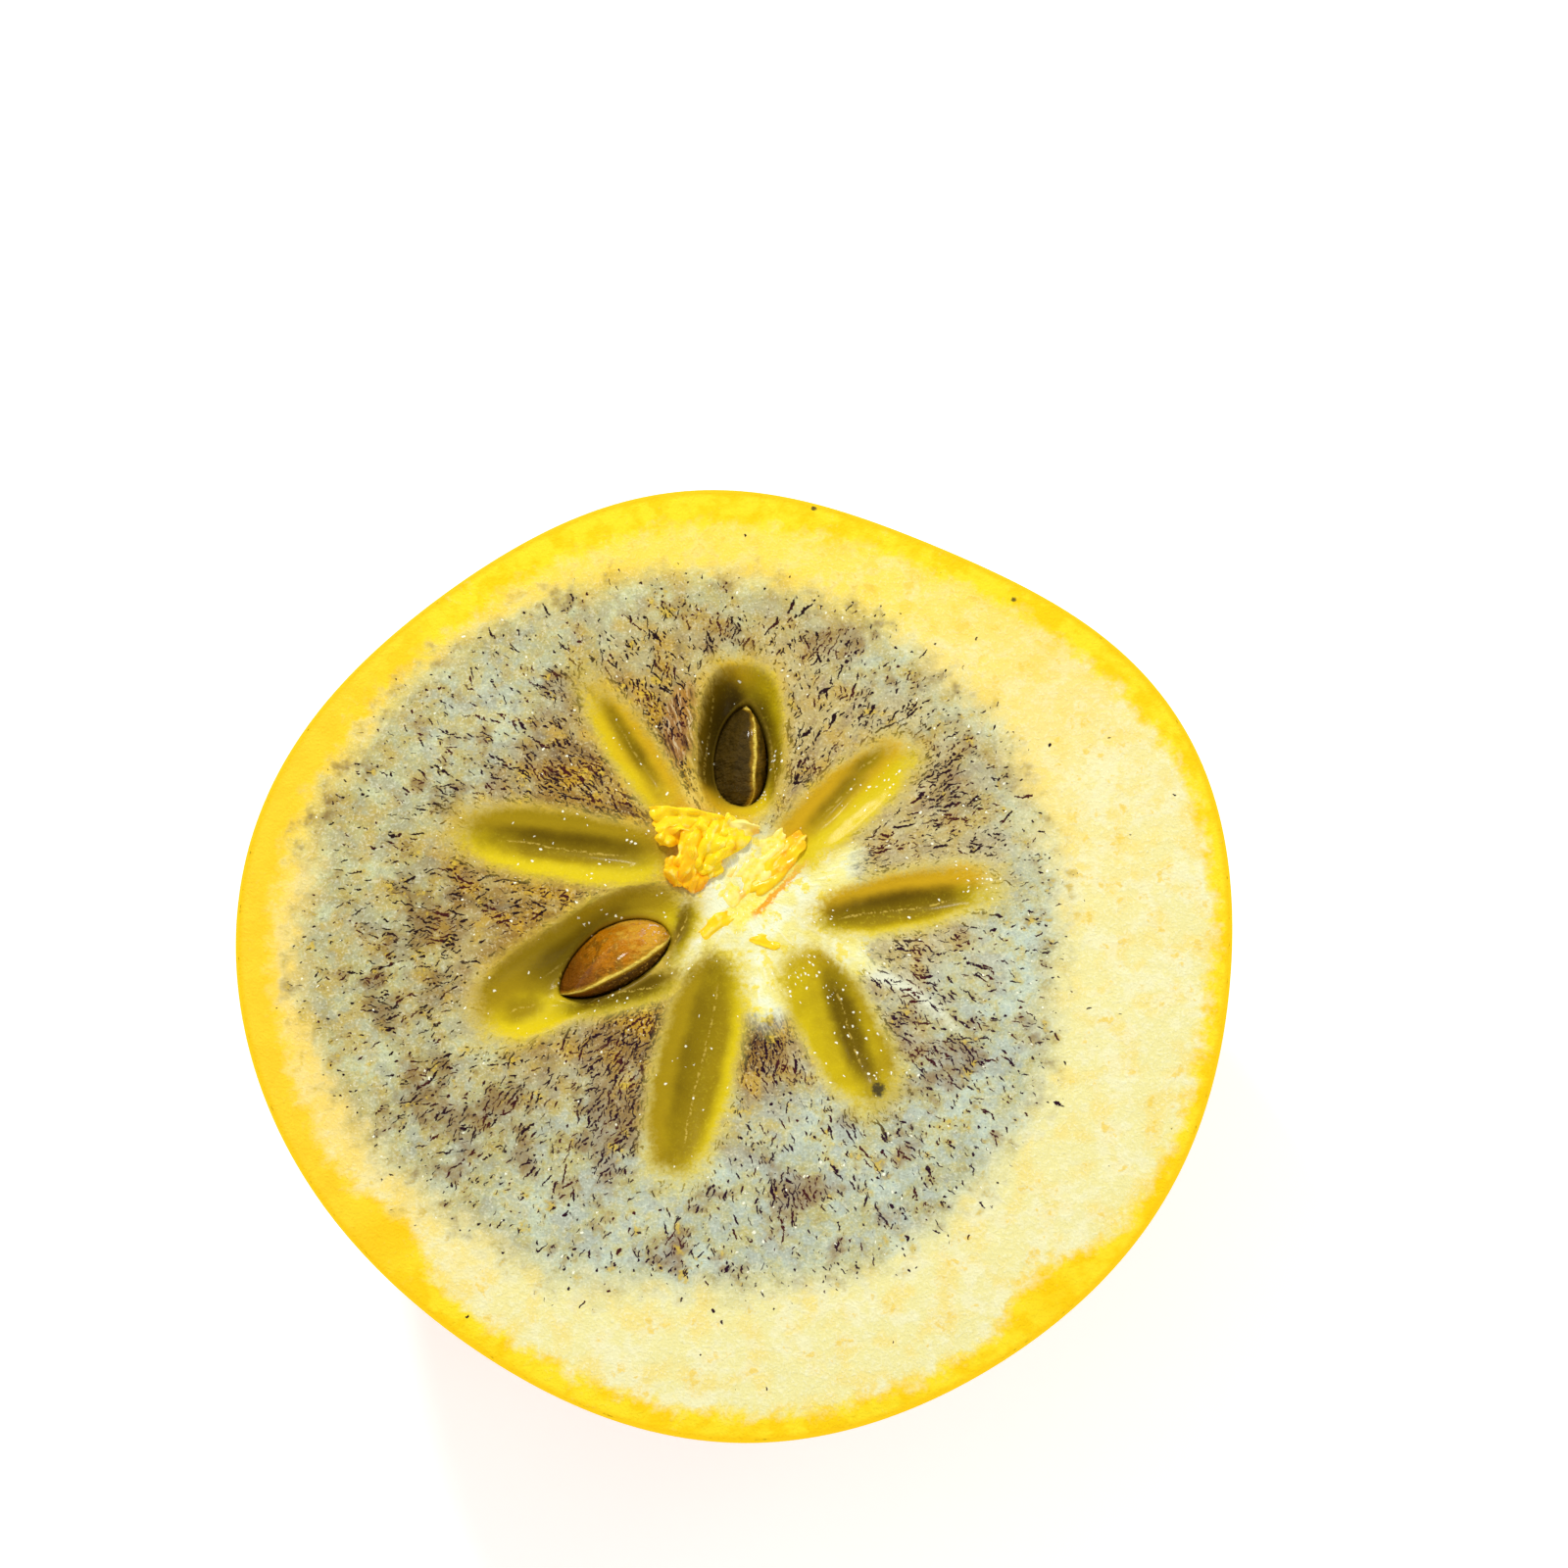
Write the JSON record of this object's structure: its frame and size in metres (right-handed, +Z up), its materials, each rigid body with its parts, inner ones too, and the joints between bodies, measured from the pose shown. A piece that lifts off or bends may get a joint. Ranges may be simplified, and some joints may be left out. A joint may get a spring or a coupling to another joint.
{
  "type": "persimmon half",
  "caption": "Half of a ripe nishimura persimmon, cut across its middle to show speckled flesh, seed pockets and seeds, standing on its calyx.",
  "frame": {"origin": "on the surface that the fruit stands on, under the middle of the box round its outline", "axes": "+Z up through the fruit to its level cut face, +X to the picture's right, +Y away from the picture's camera"},
  "size_m": [0.0754, 0.0736, 0.0334],
  "materials": {
    "fruit": "glossy orange skin, wet pale yellow and speckled flesh",
    "seed": "smooth brown seed coat, glossy with juice",
    "calyx": "dry matt leaf, green brown",
    "stem": "rough dark bark with a clipped end"
  },
  "bodies": {
    "root": {"fruit_half": "fruit", "seed_left": "seed", "seed_top": "seed", "calyx": "calyx", "stem_stub": "stem"}
  },
  "joints": []
}
